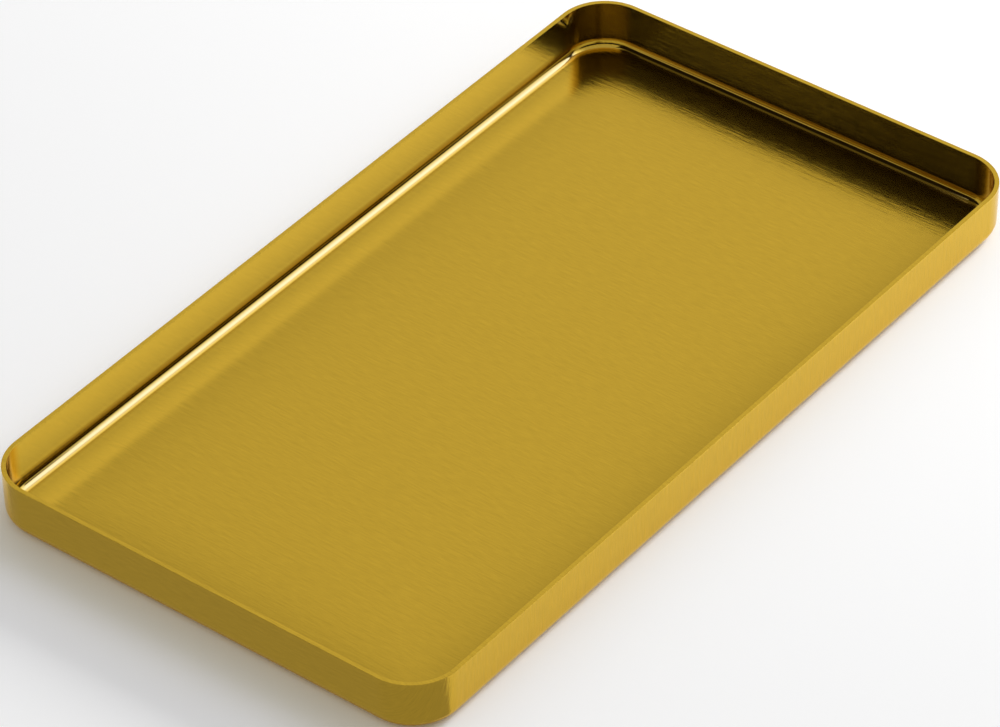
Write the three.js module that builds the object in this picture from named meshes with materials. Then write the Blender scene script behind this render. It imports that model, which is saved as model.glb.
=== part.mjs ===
// Shallow rectangular instrument tray, deep-drawn from one sheet of gold-toned brushed metal.
// Millimetres, +Z up. Length runs along X and width along Y.
// The origin is on the underside, below the middle of the floor.

import * as THREE from 'three';

// Overall size. Length and width are taken across the rim, which is the widest place.
const LENGTH = 200;
const WIDTH = 110;
const HEIGHT = 12;

// The sheet, and the form that the die gives it.
const SHEET = 1;
const CORNER_RADIUS = 11; // outside, in plan, at the rim
const COVE_RADIUS = 2; // inside, where the wall runs into the floor
const DRAFT_DEGREES = 0.75; // how far each wall leans outward
const RIM_BREAK = 0.12; // radius left by deburring the two edges of the trimmed rim

// How finely the curves are cut into flat facets.
const CORNER_STEPS = 16;
const COVE_STEPS = 8;
const RIM_STEPS = 3;

// Finish of the sheet.
const GOLD = 0xba9834;
const ROUGHNESS = 0.3;

// Points along an arc of a plane curve, both ends included.
function arcPoints(centre, radius, from, to, steps) {
  const clockwise = to < from;
  const arc = new THREE.EllipseCurve(centre.x, centre.y, radius, radius, from, to, clockwise);
  return arc.getPoints(steps);
}

// The section through one wall, from the edge of the flat underside, up the outside, over the rim
// and down the inside to the edge of the flat floor. x is the inset from the widest outline, y the height.
// The wall's two faces lean by the draft and lie one sheet apart, and so do the two arcs at its foot.
function wallSection() {
  const lean = THREE.MathUtils.degToRad(DRAFT_DEGREES);
  const outerFoot = COVE_RADIUS + SHEET;

  const rimHeight = HEIGHT - RIM_BREAK;
  const outerRim = new THREE.Vector2(RIM_BREAK, rimHeight);
  const innerRim = new THREE.Vector2(RIM_BREAK + (SHEET - 2 * RIM_BREAK) / Math.cos(lean), rimHeight);

  const drop = rimHeight - outerFoot;
  const footInset = RIM_BREAK + (outerFoot - RIM_BREAK + drop * Math.sin(lean)) / Math.cos(lean);
  const foot = new THREE.Vector2(footInset, outerFoot);

  const down = 1.5 * Math.PI;
  const outward = Math.PI + lean;
  const up = 0.5 * Math.PI;
  const inward = lean;
  return [
    ...arcPoints(foot, outerFoot, down, outward, COVE_STEPS),
    ...arcPoints(outerRim, RIM_BREAK, outward, up, RIM_STEPS),
    ...arcPoints(innerRim, RIM_BREAK, up, inward, RIM_STEPS),
    ...arcPoints(foot, COVE_RADIUS, outward, down, COVE_STEPS),
  ];
}

// The tray's outline in plan at a given inset: a rectangle with round corners, anticlockwise from above.
// The corner centres stay where they are, so an inset takes as much off the radius as off the sides.
function outlineAt(inset) {
  const radius = CORNER_RADIUS - inset;
  const cornerX = LENGTH / 2 - CORNER_RADIUS;
  const cornerY = WIDTH / 2 - CORNER_RADIUS;
  const corners = [
    new THREE.Vector2(cornerX, cornerY),
    new THREE.Vector2(-cornerX, cornerY),
    new THREE.Vector2(-cornerX, -cornerY),
    new THREE.Vector2(cornerX, -cornerY),
  ];
  const quarter = Math.PI / 2;
  return corners.flatMap((corner, turn) =>
    arcPoints(corner, radius, turn * quarter, (turn + 1) * quarter, CORNER_STEPS),
  );
}

// The drawn pan: the wall section carried round the outline, closed by the flat floor and underside.
function panGeometry() {
  const section = wallSection();
  const positions = [];
  for (const { x: inset, y: height } of section) {
    for (const point of outlineAt(inset)) {
      positions.push(point.x, point.y, height);
    }
  }
  const around = positions.length / 3 / section.length;
  const floorRing = (section.length - 1) * around;

  const triangles = [];
  for (let ring = 0; ring < floorRing; ring += around) {
    const after = ring + around;
    for (let step = 0; step < around; step += 1) {
      const next = (step + 1) % around;
      triangles.push(ring + step, ring + next, after + next);
      triangles.push(ring + step, after + next, after + step);
    }
  }
  const flat = THREE.ShapeUtils.triangulateShape(outlineAt(section[0].x), []);
  for (const [a, b, c] of flat) {
    triangles.push(c, b, a);
    triangles.push(floorRing + a, floorRing + b, floorRing + c);
  }

  const geometry = new THREE.BufferGeometry();
  geometry.setAttribute('position', new THREE.Float32BufferAttribute(positions, 3));
  geometry.setIndex(triangles);
  geometry.computeVertexNormals();
  return geometry;
}

const brushedGold = new THREE.MeshStandardMaterial({ color: GOLD, roughness: ROUGHNESS, metalness: 1 });
const pan = new THREE.Mesh(panGeometry(), brushedGold);
pan.name = 'tray_pan';

const tray = new THREE.Group();
tray.add(pan);

export default tray;
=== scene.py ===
"""Brushed gold instrument tray, drawn from one sheet: its smooth surface, its finish and a plain studio."""

import math

import bpy
import numpy as np
from mathutils import Matrix, Vector


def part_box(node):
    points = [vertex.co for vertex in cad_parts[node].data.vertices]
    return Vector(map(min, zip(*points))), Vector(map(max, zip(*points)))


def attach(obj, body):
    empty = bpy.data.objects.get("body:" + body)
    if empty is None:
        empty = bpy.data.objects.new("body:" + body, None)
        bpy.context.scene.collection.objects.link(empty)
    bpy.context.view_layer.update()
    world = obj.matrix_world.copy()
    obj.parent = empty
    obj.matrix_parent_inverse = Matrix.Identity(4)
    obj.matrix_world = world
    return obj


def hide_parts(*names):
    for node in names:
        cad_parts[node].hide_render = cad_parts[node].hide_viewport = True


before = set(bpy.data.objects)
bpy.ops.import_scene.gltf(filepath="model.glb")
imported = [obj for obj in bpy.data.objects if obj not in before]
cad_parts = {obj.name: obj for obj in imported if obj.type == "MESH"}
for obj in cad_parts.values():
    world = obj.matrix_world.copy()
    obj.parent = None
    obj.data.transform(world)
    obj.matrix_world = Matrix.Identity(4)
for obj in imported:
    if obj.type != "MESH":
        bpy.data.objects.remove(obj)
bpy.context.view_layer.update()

MM = 0.001

# The pan's own sizes, in metres. Length, width and height come from the frame.
PAN_LOW, PAN_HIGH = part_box("tray_pan")
LENGTH, WIDTH, HEIGHT = PAN_HIGH - PAN_LOW
SHEET = 1.0 * MM
CORNER_RADIUS = 11.0 * MM
COVE_RADIUS = 2.0 * MM
FOOT_RADIUS = COVE_RADIUS + SHEET
DRAFT = math.radians(0.75)
RIM_BREAK = 0.05 * MM
RIM_HEIGHT = HEIGHT - RIM_BREAK
# How far the wall leans in over its height, and how far the edge of the flat floor lies inside the
# widest outline. Foot and cove turn about that edge.
WALL_LEAN = (RIM_HEIGHT - FOOT_RADIUS) * math.sin(DRAFT)
FLAT_INSET = RIM_BREAK + (FOOT_RADIUS - RIM_BREAK + WALL_LEAN) / math.cos(DRAFT)
# A narrow flat ring that divides the cove from the one large face of the floor.
FLOOR_BORDER = 0.4 * MM
# Centre of the corner at +X and +Y on the plan; the other three mirror it.
CORNER_CENTRE = np.array([LENGTH / 2 - CORNER_RADIUS, WIDTH / 2 - CORNER_RADIUS])

# How finely the surface is sampled.
CORNER_STEPS = 48
LONG_STEPS = 50
SHORT_STEPS = 28
COVE_STEPS = 24
EDGE_STEPS = 5
RIM_STEPS = 2
WALL_STEPS = 8

# The section's rings are numbered from the edge of the underside to the edge of the floor.
RIM_START = 1 + COVE_STEPS + WALL_STEPS
RIM_END = RIM_START + 2 * EDGE_STEPS + RIM_STEPS
COVE_START = RIM_END + WALL_STEPS
COVE_END = COVE_START + COVE_STEPS
RINGS = COVE_END + 2

# Name of the tray's map onto the flat blank.
BLANK_MAP = "blank"

# Colours of the gold sheet, and its colour at glancing angles.
BRUSHED_GOLD = (0.68, 0.437, 0.042)
# Pale rubbed metal; where the cove's highlight falls it also paints that highlight pale.
BURNISH_AND_HIGHLIGHT_GOLD = (0.78, 0.73, 0.54)
GLANCING_TINT = (1.0, 0.93, 0.75)

# Its gloss: how far it is drawn out by the brushing, how it blurs over the streaks, and where it is smooth.
ANISOTROPY = 0.5
BRUSHED_ROUGHNESS = (0.13, 0.2)
BURNISHED_ROUGHNESS = 0.06

# The brush grain: fine streaks, and strokes that are wider and longer by these factors.
STREAK_WIDTH = 0.35 * MM
STREAK_LENGTH = 3.5 * MM
STROKE_WIDER = 3.0
STROKE_LONGER = 7.0
GRAIN_DETAIL = 2.0
STREAK_TONE = (0.9, 1.1)
STROKE_TONE = (0.98, 1.02)
# Its depth, and the share of that depth on smooth metal.
GRAIN_DEPTH = 0.02 * MM
GRAIN_LEFT = 0.05

# Painted shade on the floor near its edge, where the walls shade it: strength, most darkening, and reach.
EDGE_SHADE_STRENGTH = 0.42
EDGE_SHADE_MOST = 0.33
EDGE_REACH = 6.7 * MM
# The rim's colour is made a little brighter.
RIM_LIFT = 1.03

# The cove's finish goes by the angle in degrees from the wall, up to this one at the floor.
COVE_TURN = 90
# How much the cove is rubbed pale; the share also peaks where the highlight falls, as a painted highlight.
RUB_ANGLES = (0, 12, 35, 55, 68, 88)
RUB_AND_HIGHLIGHT_SHARES = (0.35, 0.05, 0.05, 0.34, 0.34, 0.0)
# The angle before the floor over which the smooth finish fades.
SMOOTH_FADE = 31.5
# Where the floor's finish sets in, and the angle over which it would be full.
FLOOR_START = 82.8
FLOOR_FADE = 14.4
# Painted shade in the crease along the foot of the wall: its colour, its strength, and where it ends.
FOOT_SHADE = (0.05, 0.02, 0.0)
FOOT_SHARE = 0.55
FOOT_END = 9
# How much less the drawn corners are rubbed pale (which also takes painted highlight out there) and smoothed
# than the sides, and how fast that sets in.
CORNER_SPARED = 0.85
CORNER_COARSE = 0.5
CORNER_RAMP = 5.0

# The view, measured from the tray's origin, with the aim a little left of it.
# Here and below, azimuth runs from +X towards +Y, and all angles are in degrees.
CAMERA_AZIMUTH = -141.802
CAMERA_ELEVATION = 39.433
CAMERA_ROLL = 0.930
CAMERA_DISTANCE = 1115.818 * MM
AIM_LEFT = 3.147 * MM
PHOTO_WIDTH = 1000
FOCAL_PIXELS = 5523.4
SENSOR_WIDTH = 36.0

# The studio floor, in metres: its tone as it lights the tray, and as it is seen.
FLOOR_RADIUS = 6.0
FLOOR_POINTS = 128
FLOOR_TONE = (0.8, 0.8, 0.8)
FLOOR_SHOWN = (1.065, 1.06, 1.025)
VIEW_REACH = 4 * FLOOR_RADIUS

# The softbox, in metres, with the brightness of its face.
SOFTBOX_AZIMUTH = -12
SOFTBOX_ELEVATION = 26
SOFTBOX_DISTANCE = 0.9
SOFTBOX_SIZE = 0.25
SOFTBOX_LEVEL = 26

# The studio dome, and the bright horizon that fades in between two elevations.
DOME_TONE = (0.52, 0.515, 0.495)
HORIZON_TONE = (0.95, 0.95, 0.95)
HORIZON_TOP = 2.4
HORIZON_FULL = 1.2
# Its soft lights: azimuth, elevation, angle where full, angle where it ends, colour added.
DOME_LIGHTS = [
    (-30, 40, 14, 28, (0.81, 0.9, 1.4)),
    (-22, 49, 9, 16, (0.3, 0.35, 0.5)),
    (25, 33, 8, 29, (0.24, 0.24, 0.25)),
    (10, 52, 9, 17, (0.5, 0.5, 0.55)),
]
# Its dark areas: azimuth, elevation, angle where full, angle where it ends, colour.
DOME_DARKS = [
    (150, 10, 8, 15, (0.15, 0.1, 0.015)),
    (96, 61, 8, 15, (0.1, 0.08, 0.02)),
    (-60, 4, 8, 12, (0.006, 0.004, 0.0)),
    (-52, 6, 11, 13.5, (0.006, 0.004, 0.0)),
    (-44, 4, 7, 10, (0.006, 0.004, 0.0)),
    (52, 4, 7, 12, (0.02, 0.015, 0.003)),
    (-127, 22, 6, 11, (0.16, 0.125, 0.045)),
]

# Two dark cards hang over the tray and show only in its metal, in metres.
CARD_HEIGHT = 0.25
CARD_TONE = (0.012, 0.008, 0.001)
# The left one is a rectangle between these two corners.
LEFT_CARD = ((-0.26, 0.08), (0.035, 0.31))
# The other is a band round the far corner. From one angle on to its first end, its inner edge moves out.
BAND_CENTRE = (0.09, 0.045)
BAND_TURNS = (-72, -205)
BAND_POINTS = 24
BAND_INNER = 0.21
BAND_OUTER = 0.42
BAND_NARROWING = 0.06
BAND_NARROWS_FROM = -95
# A grey sheet of painted shadow lies by the near end, standing in for the tray's shadow on the floor there,
# and shows only in the metal. It follows the near corner at a small gap, and from there spreads to a back
# edge, an outer corner and a tip at the front.
FLAG_HEIGHT = 0.3 * MM
FLAG_SHADOW_TONE = (0.41, 0.405, 0.43)
FLAG_GAP = 0.2 * MM
FLAG_TURNS = (262, 180)
FLAG_POINTS = 12
FLAG_BACK = 0.08
FLAG_OUTER = (-0.36, -0.258)
FLAG_TIP = -0.026

# Places of a Mix node's two inputs and its result, by the kind of data.
MIX_SOCKETS = {"FLOAT": (2, 3, 0), "RGBA": (6, 7, 2)}


def spokes(angle):
    """Unit vectors (cos, sin) on the plan, for an array of angles in radians."""
    return np.stack([np.cos(angle), np.sin(angle)], 1)


def wall_section():
    """One wall's section as two arrays: points, as inset from the widest outline and height, and normals.

    It starts at the edge of the flat underside, runs round the outer foot arc, up the leaning outer face,
    over the rim with its two small edge arcs, down the inner face and round the cove to the floor.
    Arcs are centre + radius * (cos, sin); faces are straight runs between the arcs' ends.
    """
    down = 1.5 * math.pi
    outward = math.pi + DRAFT
    up = 0.5 * math.pi
    inward = DRAFT
    inner_rim = RIM_BREAK + (SHEET - 2 * RIM_BREAK) / math.cos(DRAFT)
    # Each arc: centre, radius, first and last angle, steps, and 1 where it bulges or -1 where it is hollow.
    arcs = [
        ((FLAT_INSET, FOOT_RADIUS), FOOT_RADIUS, down, outward, COVE_STEPS, 1),
        ((RIM_BREAK, RIM_HEIGHT), RIM_BREAK, outward, up, EDGE_STEPS, 1),
        ((inner_rim, RIM_HEIGHT), RIM_BREAK, up, inward, EDGE_STEPS, 1),
        ((FLAT_INSET, FOOT_RADIUS), COVE_RADIUS, outward, down, COVE_STEPS, -1),
    ]
    runs = [WALL_STEPS, RIM_STEPS, WALL_STEPS]
    border = FLAT_INSET + FLOOR_BORDER
    points = [np.array([[border, 0.0]])]
    normals = [np.array([[0.0, -1.0]])]
    for index, (centre, radius, start, end, steps, bulge) in enumerate(arcs):
        turn = spokes(np.linspace(start, end, steps + 1))
        arc = np.array(centre) + radius * turn
        if index:
            share = np.linspace(0, 1, runs[index - 1] + 1)[1:-1, None]
            points.append(points[-1][-1] * (1 - share) + arc[0] * share)
            normals.append(np.repeat(bulge * turn[:1], len(share), 0))
        points.append(arc)
        normals.append(bulge * turn)
    points.append(np.array([[border, SHEET]]))
    normals.append(np.array([[0.0, 1.0]]))
    return np.concatenate(points), np.concatenate(normals)


def plan_path():
    """The path round the tray as two arrays: a point on the rectangle of corner centres, and the way out.

    Round a corner the point stands still while the way out turns by a quarter; along a side the point moves
    and the way out stays. An outline at inset d is then point + (corner radius - d) * way out.
    """
    corners = np.array([[1, 1], [-1, 1], [-1, -1], [1, -1]]) * CORNER_CENTRE
    centres = []
    outs = []
    for turn in range(4):
        outs.append(spokes((turn + np.linspace(0, 1, CORNER_STEPS + 1)) * math.pi / 2))
        centres.append(np.repeat(corners[turn : turn + 1], CORNER_STEPS + 1, 0))
        steps = SHORT_STEPS if turn % 2 else LONG_STEPS
        share = np.linspace(0, 1, steps + 1)[1:-1, None]
        centres.append(corners[turn] * (1 - share) + corners[(turn + 1) % 4] * share)
        outs.append(np.repeat(outs[-1][-1:], len(share), 0))
    return np.concatenate(centres), np.concatenate(outs)


def tray_points(section, bend, centres, outs):
    """Vertices and normals of the pan, ring by ring: the wall section carried round the plan path.

    A vertex lies at centre + (corner radius - inset) * way out on the plan, at the section's height.
    A normal is the section's own, with its inset part turned to run against the way out.
    """
    around = len(outs)
    reach = CORNER_RADIUS - section[:, 0]
    flat = centres[None] + reach[:, None, None] * outs[None]
    height = np.repeat(section[:, 1, None], around, 1)
    vertices = np.concatenate([flat, height[..., None]], 2)
    side = -bend[:, 0, None, None] * outs[None]
    lift = np.repeat(bend[:, 1, None], around, 1)
    normals = np.concatenate([side, lift[..., None]], 2)
    return vertices.reshape(-1, 3), normals.reshape(-1, 3)


def tray_faces(around):
    """The faces as vertex numbers: quads from each ring to the next, then the underside and the floor."""
    ring = np.arange(RINGS - 1)[:, None] * around
    step = np.arange(around)[None]
    after = (step + 1) % around
    quads = np.stack([ring + step, ring + after, ring + around + after, ring + around + step], 2)
    under = np.arange(around)[::-1]
    floor = (RINGS - 1) * around + np.arange(around)
    return quads.reshape(-1, 4).tolist() + [under.tolist(), floor.tolist()]


def blank_places(section, centres, outs, vertices):
    """The place of each face's corners on the flat blank that the pan was drawn from.

    It is the plan centre moved along the way out by the flat's own reach there and the length of section
    from the flat: from the underside up to the rim, and from the floor on the rim and inside. The two flats
    keep their plan.
    """
    around = len(outs)
    reach = CORNER_RADIUS - section[:, 0]
    lengths = np.linalg.norm(np.diff(section, axis=0), axis=1)
    travel = np.concatenate([[0], np.cumsum(lengths)])
    from_under = reach[0] + travel
    from_floor = reach[-1] + travel[-1] - travel
    outside = np.arange(RINGS - 1) < RIM_START
    low = np.where(outside, from_under[:-1], from_floor[:-1])
    high = np.where(outside, from_under[1:], from_floor[1:])
    spread = np.stack([low, low, high, high], 1)[:, None, :, None]
    step = np.arange(around)
    after = (step + 1) % around
    pair = np.stack([step, after, after, step], 1)
    quads = centres[pair][None] + spread * outs[pair][None]
    under = vertices[:around, :2][::-1]
    floor = vertices[-around:, :2]
    return np.concatenate([quads.reshape(-1, 2), under, floor])


def ring_values(on_wall, round_cove, on_floor=0.0):
    """A value for each ring: one on the inner wall, an array round the cove, one at the floor, else 0."""
    values = np.zeros(RINGS)
    values[RIM_END:COVE_START] = on_wall
    values[COVE_START : COVE_END + 1] = round_cove
    values[-1] = on_floor
    return values


def finish_shares(outs):
    """Each finish as its name, its share by ring and its share round the tray, both from 0 to 1.

    burnish_and_highlight: pale rubbed metal, full on the inner wall and by the table of angles in the cove,
    where it also paints the cove's highlight pale.
    smooth: full on the inner wall, then a smooth step s * s * (3 - 2 * s) down to the floor.
    foot: painted shade in the crease, strongest at the foot of the wall and falling evenly into the cove.
    rim: the trimmed rim with its two edge arcs.
    floor: rises evenly at the end of the cove.
    At a corner, burnish_and_highlight and smooth fall with the product of the two parts of the way out.
    """
    turn = np.linspace(0, COVE_TURN, COVE_STEPS + 1)
    rub_and_highlight = np.interp(turn, RUB_ANGLES, RUB_AND_HIGHLIGHT_SHARES)
    fade = np.clip((COVE_TURN - turn) / SMOOTH_FADE, 0, 1)
    smooth = fade * fade * (3 - 2 * fade)
    # Painted shade in the crease at the wall's foot.
    foot_shade_line = FOOT_SHARE * np.clip(1 - turn / FOOT_END, 0, 1)
    rise = np.clip((turn - FLOOR_START) / FLOOR_FADE, 0, 1)
    ring = np.arange(RINGS)
    on_rim = ((ring >= RIM_START) & (ring <= RIM_END)).astype(float)
    corner = np.minimum(1, CORNER_RAMP * np.abs(outs[:, 0] * outs[:, 1]))
    even = np.ones(len(outs))
    return [
        ("burnish_and_highlight", ring_values(1.0, rub_and_highlight), 1 - CORNER_SPARED * corner),
        ("smooth", ring_values(1.0, smooth), 1 - CORNER_COARSE * corner),
        ("foot", ring_values(0.0, foot_shade_line), even),
        ("rim", on_rim, even),
        ("floor", ring_values(0.0, rise, 1.0), even),
    ]


def make_tray():
    """The pan as one closed smooth mesh, with its normals, its blank map and the shares of its finishes."""
    section, bend = wall_section()
    centres, outs = plan_path()
    vertices, normals = tray_points(section, bend, centres, outs)
    faces = tray_faces(len(outs))
    places = blank_places(section, centres, outs, vertices)
    mesh = bpy.data.meshes.new("tray")
    mesh.from_pydata(vertices.tolist(), [], faces)
    mesh.polygons.foreach_set("use_smooth", np.ones(len(faces), bool))
    blank = mesh.uv_layers.new(name=BLANK_MAP)
    blank.data.foreach_set("uv", places.astype(np.float32).ravel())
    for name, by_ring, by_step in finish_shares(outs):
        attribute = mesh.attributes.new(name, "FLOAT", "POINT")
        attribute.data.foreach_set("value", np.outer(by_ring, by_step).ravel().astype(np.float32))
    mesh.update()
    mesh.normals_split_custom_set_from_vertices(normals.tolist())
    tray = bpy.data.objects.new("tray", mesh)
    bpy.context.scene.collection.objects.link(tray)
    return tray


def add_node(tree, kind, **settings):
    """A new node with its settings made."""
    node = tree.nodes.new(kind)
    for name, value in settings.items():
        setattr(node, name, value)
    return node


def feed(tree, socket, value):
    """Gives an input what it takes: a link from another socket, a colour or a number."""
    if isinstance(value, bpy.types.NodeSocket):
        tree.links.new(value, socket)
    elif isinstance(value, tuple):
        socket.default_value = (*value, 1)
    else:
        socket.default_value = value


def value_node(tree, operation, *values):
    """A maths node whose inputs are sockets or plain numbers; gives its output socket."""
    node = add_node(tree, "ShaderNodeMath", operation=operation)
    for socket, value in zip(node.inputs, values):
        feed(tree, socket, value)
    return node.outputs["Value"]


def product(tree, *values):
    """Sockets or plain numbers multiplied in turn; gives the output socket."""
    total = values[0]
    for value in values[1:]:
        total = value_node(tree, "MULTIPLY", total, value)
    return total


def mix_node(tree, kind, factor, first, second, blend="MIX"):
    """Two numbers or colours blended by a factor, each a socket or plain; gives the output socket."""
    node = add_node(tree, "ShaderNodeMix", data_type=kind, blend_type=blend)
    first_place, second_place, result_place = MIX_SOCKETS[kind]
    feed(tree, node.inputs["Factor"], factor)
    feed(tree, node.inputs[first_place], first)
    feed(tree, node.inputs[second_place], second)
    return node.outputs[result_place]


def between(tree, value, low, high):
    """A value from 0 to 1 carried to the range from low to high."""
    node = add_node(tree, "ShaderNodeMapRange")
    node.inputs["To Min"].default_value = low
    node.inputs["To Max"].default_value = high
    tree.links.new(value, node.inputs["Value"])
    return node.outputs["Result"]


def smooth_step(tree, value, none, full):
    """0 where the value is at none, 1 where it is at full, and a smooth step between."""
    node = add_node(tree, "ShaderNodeMapRange", interpolation_type="SMOOTHSTEP")
    node.inputs["From Min"].default_value = none
    node.inputs["From Max"].default_value = full
    tree.links.new(value, node.inputs["Value"])
    return node.outputs["Result"]


def new_group(name, numbers, results):
    """An empty node group: a place on the blank and named numbers go in, and named values come out.

    Gives the group, its inputs, the parts of the place and its outputs.
    """
    group = bpy.data.node_groups.new(name, "ShaderNodeTree")
    group.interface.new_socket("Blank", in_out="INPUT", socket_type="NodeSocketVector")
    for number in numbers:
        group.interface.new_socket(number, in_out="INPUT", socket_type="NodeSocketFloat")
    for result in results:
        group.interface.new_socket(result, in_out="OUTPUT", socket_type="NodeSocketFloat")
    source = add_node(group, "NodeGroupInput").outputs
    sink = add_node(group, "NodeGroupOutput").inputs
    split = add_node(group, "ShaderNodeSeparateXYZ")
    group.links.new(source["Blank"], split.inputs["Vector"])
    return group, source, split.outputs, sink


def place_group(tree, group, values):
    """A node group placed in a material, with a link or a number for each input; gives its outputs."""
    node = add_node(tree, "ShaderNodeGroup", node_tree=group)
    for name, value in values.items():
        feed(tree, node.inputs[name], value)
    return node.outputs


def grain_group():
    """Brush grain: fine streaks and longer strokes, each a noise drawn out along the width of the blank."""
    numbers = ["Streak Width", "Streak Length"]
    group, source, place, sink = new_group("brush_grain", numbers, ["Streaks", "Strokes"])
    for name, wider, longer in (("Streaks", 1.0, 1.0), ("Strokes", STROKE_WIDER, STROKE_LONGER)):
        across = value_node(group, "DIVIDE", place["X"], source["Streak Width"])
        along = value_node(group, "DIVIDE", place["Y"], source["Streak Length"])
        drawn = add_node(group, "ShaderNodeCombineXYZ")
        group.links.new(value_node(group, "DIVIDE", across, wider), drawn.inputs["X"])
        group.links.new(value_node(group, "DIVIDE", along, longer), drawn.inputs["Y"])
        noise = add_node(group, "ShaderNodeTexNoise", noise_dimensions="2D")
        noise.inputs["Scale"].default_value = 1.0
        noise.inputs["Detail"].default_value = GRAIN_DETAIL
        group.links.new(drawn.outputs["Vector"], noise.inputs["Vector"])
        group.links.new(noise.outputs["Fac"], sink[name])
    return group


def edge_group():
    """How near a place on the blank is to the edge of the flat floor: 1 at the edge, fading inwards.

    The distance to a round-cornered rectangle is taken from |p| - (half size - radius), as the length of its
    positive part plus its larger negative part, less the radius; the value is exp(distance / reach).
    """
    numbers = ["Half Length", "Half Width", "Radius", "Reach"]
    group, source, place, sink = new_group("floor_edge", numbers, ["Nearness"])
    overs = []
    squares = []
    for axis, half in (("X", "Half Length"), ("Y", "Half Width")):
        size = value_node(group, "ABSOLUTE", place[axis])
        over = value_node(group, "SUBTRACT", size, source[half])
        over = value_node(group, "ADD", over, source["Radius"])
        outside = value_node(group, "MAXIMUM", over, 0.0)
        overs.append(over)
        squares.append(value_node(group, "MULTIPLY", outside, outside))
    corner = value_node(group, "SQRT", value_node(group, "ADD", *squares))
    inside = value_node(group, "MINIMUM", value_node(group, "MAXIMUM", *overs), 0.0)
    beyond = value_node(group, "SUBTRACT", value_node(group, "ADD", corner, inside), source["Radius"])
    beyond = value_node(group, "MINIMUM", beyond, 0.0)
    nearness = value_node(group, "EXPONENT", value_node(group, "DIVIDE", beyond, source["Reach"]))
    group.links.new(nearness, sink["Nearness"])
    return group


def share_of(tree, name):
    """The tray's own share of a finish, by its name."""
    return add_node(tree, "ShaderNodeAttribute", attribute_name=name).outputs["Fac"]


def gold_material():
    """Brushed gold sheet.

    Its tone is strokes * streaks * (1 - painted shade at the floor's edge) * brightening on the rim. Rubbed
    metal is paler, and in the cove it also paints the highlight pale; the foot line is painted shade. The
    gloss streaks with the grain, and smooth metal loses both grain and blur.
    """
    material = bpy.data.materials.new("gold_sheet")
    material.use_nodes = True
    tree = material.node_tree
    shader = tree.nodes["Principled BSDF"]
    shader.inputs["Metallic"].default_value = 1.0
    shader.inputs["Anisotropic"].default_value = ANISOTROPY
    shader.inputs["Specular Tint"].default_value = (*GLANCING_TINT, 1)
    tangent = add_node(tree, "ShaderNodeTangent", direction_type="UV_MAP", uv_map=BLANK_MAP)
    tree.links.new(tangent.outputs["Tangent"], shader.inputs["Tangent"])

    blank = add_node(tree, "ShaderNodeUVMap", uv_map=BLANK_MAP).outputs["UV"]
    grain_sizes = {"Blank": blank, "Streak Width": STREAK_WIDTH, "Streak Length": STREAK_LENGTH}
    grain = place_group(tree, grain_group(), grain_sizes)
    streaks = grain["Streaks"]
    strokes = grain["Strokes"]
    floor_sizes = {
        "Blank": blank,
        "Half Length": LENGTH / 2 - FLAT_INSET,
        "Half Width": WIDTH / 2 - FLAT_INSET,
        "Radius": CORNER_RADIUS - FLAT_INSET,
        "Reach": EDGE_REACH,
    }
    nearness = place_group(tree, edge_group(), floor_sizes)["Nearness"]

    # Painted shade on the floor near its edge.
    painted_edge_shade = value_node(tree, "MINIMUM", product(tree, nearness, EDGE_SHADE_STRENGTH), EDGE_SHADE_MOST)
    painted_edge_shade = product(tree, painted_edge_shade, share_of(tree, "floor"))
    tone = product(
        tree,
        between(tree, strokes, *STROKE_TONE),
        between(tree, streaks, *STREAK_TONE),
        value_node(tree, "SUBTRACT", 1.0, painted_edge_shade),
        between(tree, share_of(tree, "rim"), 1.0, RIM_LIFT),
    )
    colour = mix_node(tree, "RGBA", 1.0, BRUSHED_GOLD, tone, "MULTIPLY")
    # Pale rubbed metal, and in the cove a painted highlight.
    colour = mix_node(tree, "RGBA", share_of(tree, "burnish_and_highlight"), colour, BURNISH_AND_HIGHLIGHT_GOLD)
    # Painted shade: the dark line in the crease at the foot of the wall.
    colour = mix_node(tree, "RGBA", share_of(tree, "foot"), colour, FOOT_SHADE)
    tree.links.new(colour, shader.inputs["Base Color"])

    smooth = share_of(tree, "smooth")
    brushed = between(tree, streaks, *BRUSHED_ROUGHNESS)
    roughness = mix_node(tree, "FLOAT", smooth, brushed, BURNISHED_ROUGHNESS)
    tree.links.new(roughness, shader.inputs["Roughness"])

    relief = value_node(tree, "ADD", streaks, strokes)
    height = product(tree, relief, between(tree, smooth, 1.0, GRAIN_LEFT))
    bump = add_node(tree, "ShaderNodeBump")
    bump.inputs["Strength"].default_value = 1.0
    bump.inputs["Distance"].default_value = GRAIN_DEPTH
    tree.links.new(height, bump.inputs["Height"])
    tree.links.new(bump.outputs["Normal"], shader.inputs["Normal"])
    return material


def towards(azimuth, elevation):
    """Unit vector at an azimuth, from +X towards +Y, and an elevation, both in degrees."""
    turn = math.radians(azimuth)
    rise = math.radians(elevation)
    return Vector((math.cos(turn) * math.cos(rise), math.sin(turn) * math.cos(rise), math.sin(rise)))


def soft_disc(tree, direction, azimuth, elevation, full, end):
    """1 inside a disc of the dome, fading to 0 at its end, by the cosine of the angle from its centre."""
    facing = add_node(tree, "ShaderNodeVectorMath", operation="DOT_PRODUCT")
    facing.inputs[1].default_value = towards(azimuth, elevation)
    tree.links.new(direction, facing.inputs[0])
    none_at = math.cos(math.radians(end))
    full_at = math.cos(math.radians(full))
    return smooth_step(tree, facing.outputs["Value"], none_at, full_at)


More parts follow.
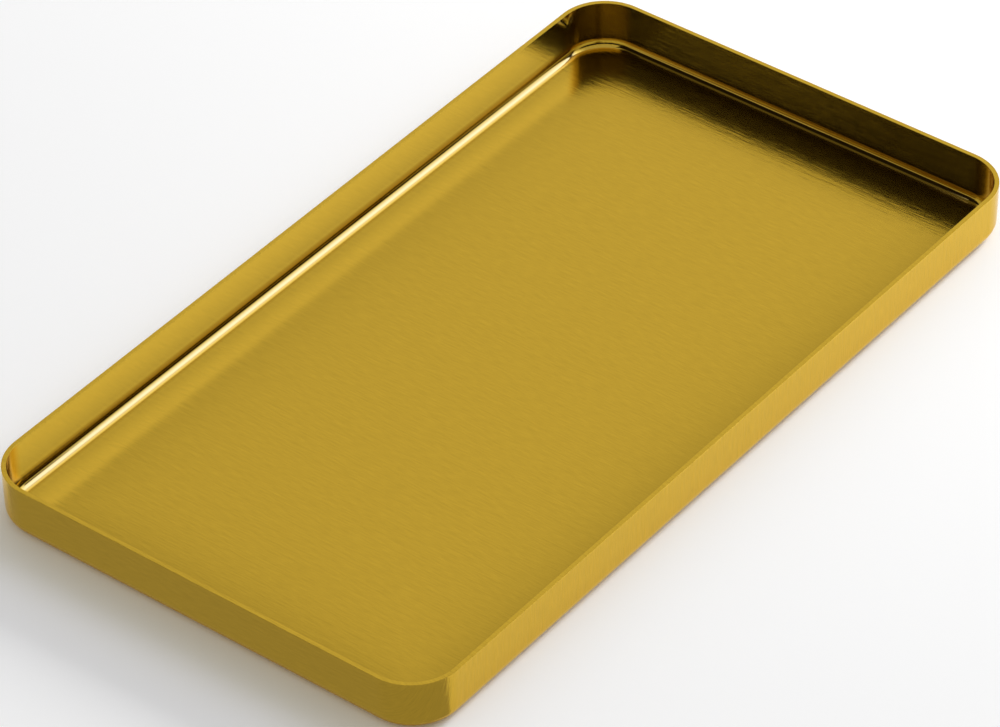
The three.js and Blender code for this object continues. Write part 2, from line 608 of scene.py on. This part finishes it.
def make_world():
    """The studio dome: an even tone with soft lights added, a bright horizon, and dark areas over both."""
    world = bpy.data.worlds.new("studio")
    bpy.context.scene.world = world
    world.use_nodes = True
    tree = world.node_tree
    coordinate = add_node(tree, "ShaderNodeTexCoord")
    unit = add_node(tree, "ShaderNodeVectorMath", operation="NORMALIZE")
    tree.links.new(coordinate.outputs["Generated"], unit.inputs[0])
    direction = unit.outputs["Vector"]
    light = DOME_TONE
    for *disc, colour in DOME_LIGHTS:
        light = mix_node(tree, "RGBA", soft_disc(tree, direction, *disc), light, colour, "ADD")
    split = add_node(tree, "ShaderNodeSeparateXYZ")
    tree.links.new(direction, split.inputs["Vector"])
    horizon_top = math.sin(math.radians(HORIZON_TOP))
    horizon_full = math.sin(math.radians(HORIZON_FULL))
    horizon = smooth_step(tree, split.outputs["Z"], horizon_top, horizon_full)
    light = mix_node(tree, "RGBA", horizon, light, HORIZON_TONE)
    for *disc, colour in DOME_DARKS:
        light = mix_node(tree, "RGBA", soft_disc(tree, direction, *disc), light, colour)
    background = tree.nodes["Background"]
    background.inputs["Strength"].default_value = 1.0
    tree.links.new(light, background.inputs["Color"])


def make_side_softbox():
    """A square softbox low on the right, turned to the tray; it lights the floor, not the metal.

    Its power is brightness * pi * area.
    """
    data = bpy.data.lights.new("side_softbox", "AREA")
    data.shape = "SQUARE"
    data.size = SOFTBOX_SIZE
    data.energy = SOFTBOX_LEVEL * math.pi * SOFTBOX_SIZE**2
    light = bpy.data.objects.new("side_softbox", data)
    place = towards(SOFTBOX_AZIMUTH, SOFTBOX_ELEVATION) * SOFTBOX_DISTANCE
    turn = place.to_track_quat("Z", "Y").to_matrix().to_4x4()
    light.matrix_world = Matrix.Translation(place) @ turn
    light.visible_glossy = False
    bpy.context.scene.collection.objects.link(light)


def level_face(name, outline, height):
    """An object of one level face inside an outline of plan points."""
    corners = np.column_stack([outline, np.full(len(outline), height)])
    mesh = bpy.data.meshes.new(name)
    mesh.from_pydata(corners.tolist(), [], [list(range(len(corners)))])
    face = bpy.data.objects.new(name, mesh)
    bpy.context.scene.collection.objects.link(face)
    return face


def bare_material(name):
    """A material without a shader; gives it, its node tree and the socket that a shader goes to."""
    material = bpy.data.materials.new(name)
    material.use_nodes = True
    tree = material.node_tree
    tree.nodes.remove(tree.nodes["Principled BSDF"])
    return material, tree, tree.nodes["Material Output"].inputs["Surface"]


def make_card(name, outline, height, tone):
    """A level card inside an outline of plan points; it shows only in reflections."""
    card = level_face(name, outline, height)
    material, tree, surface = bare_material(name)
    glow = add_node(tree, "ShaderNodeEmission")
    glow.inputs["Color"].default_value = (*tone, 1)
    tree.links.new(glow.outputs["Emission"], surface)
    card.data.materials.append(material)
    card.visible_camera = False
    card.visible_diffuse = False
    card.visible_shadow = False


def make_cards():
    """Two dark cards off the left and round the far corner, and a grey sheet of painted shadow by the near
    end.

    The left card is a rectangle, and the corner card a band between two arcs about one centre. The flag's
    outline runs along the near corner and the near end at its gap, then out to a wide sheet.
    """
    (left, front), (right, back) = LEFT_CARD
    sheet = np.array([[left, front], [right, front], [right, back], [left, back]])
    make_card("left_card", sheet, CARD_HEIGHT, CARD_TONE)

    turn = np.linspace(*BAND_TURNS, BAND_POINTS)
    spoke = spokes(np.radians(turn))
    narrow = np.clip((turn - BAND_NARROWS_FROM) / (BAND_TURNS[0] - BAND_NARROWS_FROM), 0, 1)
    inner = BAND_INNER + BAND_NARROWING * narrow
    band = np.array(BAND_CENTRE) + np.concatenate([inner[:, None] * spoke, BAND_OUTER * spoke[::-1]])
    make_card("corner_card", band, CARD_HEIGHT, CARD_TONE)

    angle = np.radians(np.linspace(*FLAG_TURNS, FLAG_POINTS))
    bend = (CORNER_RADIUS + FLAG_GAP) * spokes(angle) - CORNER_CENTRE
    outer_x, outer_y = FLAG_OUTER
    by_end = -LENGTH / 2 - FLAG_GAP
    wide = np.array([[by_end, FLAG_BACK], [outer_x, FLAG_BACK], [outer_x, outer_y], [FLAG_TIP, outer_y]])
    # Painted shadow of the tray on the floor by the near end, seen only in the metal.
    make_card("end_painted_shadow", np.concatenate([bend, wide]), FLAG_HEIGHT, FLAG_SHADOW_TONE)


def make_floor():
    """A plain pale disc under the tray, paler to the camera and in reflections than as a source of light."""
    angle = np.linspace(0, 2 * math.pi, FLOOR_POINTS, endpoint=False)
    floor = level_face("studio_floor", FLOOR_RADIUS * spokes(angle), 0.0)
    material, tree, surface = bare_material("pale_floor")
    path = add_node(tree, "ShaderNodeLightPath").outputs
    seen = value_node(tree, "ADD", path["Is Camera Ray"], path["Is Glossy Ray"])
    seen = value_node(tree, "ADD", seen, path["Is Transmission Ray"])
    diffuse = add_node(tree, "ShaderNodeBsdfDiffuse")
    tree.links.new(mix_node(tree, "RGBA", seen, FLOOR_TONE, FLOOR_SHOWN), diffuse.inputs["Color"])
    tree.links.new(diffuse.outputs["BSDF"], surface)
    floor.data.materials.append(material)


def make_camera():
    """The camera at the photograph's place: round the tray by azimuth and elevation, then rolled."""
    back = towards(CAMERA_AZIMUTH, CAMERA_ELEVATION)
    level = Vector((0, 0, 1)).cross(back).normalized()
    rise = back.cross(level)
    roll = math.radians(CAMERA_ROLL)
    right = level * math.cos(roll) - rise * math.sin(roll)
    up = level * math.sin(roll) + rise * math.cos(roll)
    place = back * CAMERA_DISTANCE - right * AIM_LEFT
    data = bpy.data.cameras.new("camera")
    data.sensor_width = SENSOR_WIDTH
    data.lens = FOCAL_PIXELS * SENSOR_WIDTH / PHOTO_WIDTH
    data.clip_end = VIEW_REACH
    camera = bpy.data.objects.new("camera", data)
    turn = Matrix((right, up, back)).transposed().to_4x4()
    camera.matrix_world = Matrix.Translation(place) @ turn
    bpy.context.scene.collection.objects.link(camera)
    bpy.context.scene.camera = camera


make_camera()
tray = make_tray()
tray.data.materials.append(gold_material())
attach(tray, "root")
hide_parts("tray_pan")
make_floor()
make_world()
make_side_softbox()
make_cards()
bpy.context.scene.view_settings.view_transform = "Standard"
